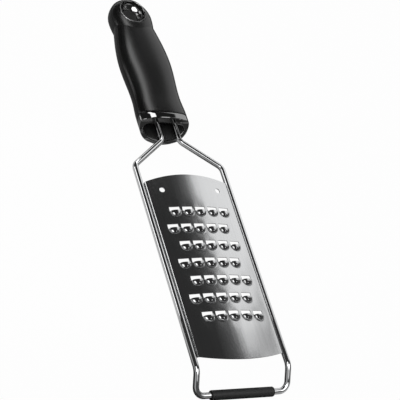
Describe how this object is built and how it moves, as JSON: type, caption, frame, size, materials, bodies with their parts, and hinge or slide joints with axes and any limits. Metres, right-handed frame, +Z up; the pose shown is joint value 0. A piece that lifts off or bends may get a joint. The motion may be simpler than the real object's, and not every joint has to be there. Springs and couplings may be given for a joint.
{
  "type": "extra coarse hand grater",
  "caption": "Flat hand grater: crowned steel blade with staggered rows of scoop teeth on a bent wire frame, with a rubber foot and a soft black handle that has a hanging hole.",
  "frame": {"origin": "middle of the footprint, on the table that the grater lies on with its teeth up", "axes": "+X along the grater from the handle to the foot, +Z up out of the toothed face"},
  "size_m": [0.315, 0.0722, 0.0211],
  "materials": {
    "blade_steel": "brushed along the length",
    "wire_steel": "polished",
    "foot_rubber": "dull",
    "core_plastic": "moulded",
    "grip_soft": "soft-touch matt",
    "gloss_black": "glossy"
  },
  "bodies": {
    "root": {"blade": "blade_steel", "wire_frame": "wire_steel", "foot_sleeve": "foot_rubber", "handle_core": "core_plastic", "grip": "grip_soft", "front_collar": "gloss_black", "hang_eyelet": "gloss_black"}
  },
  "joints": []
}
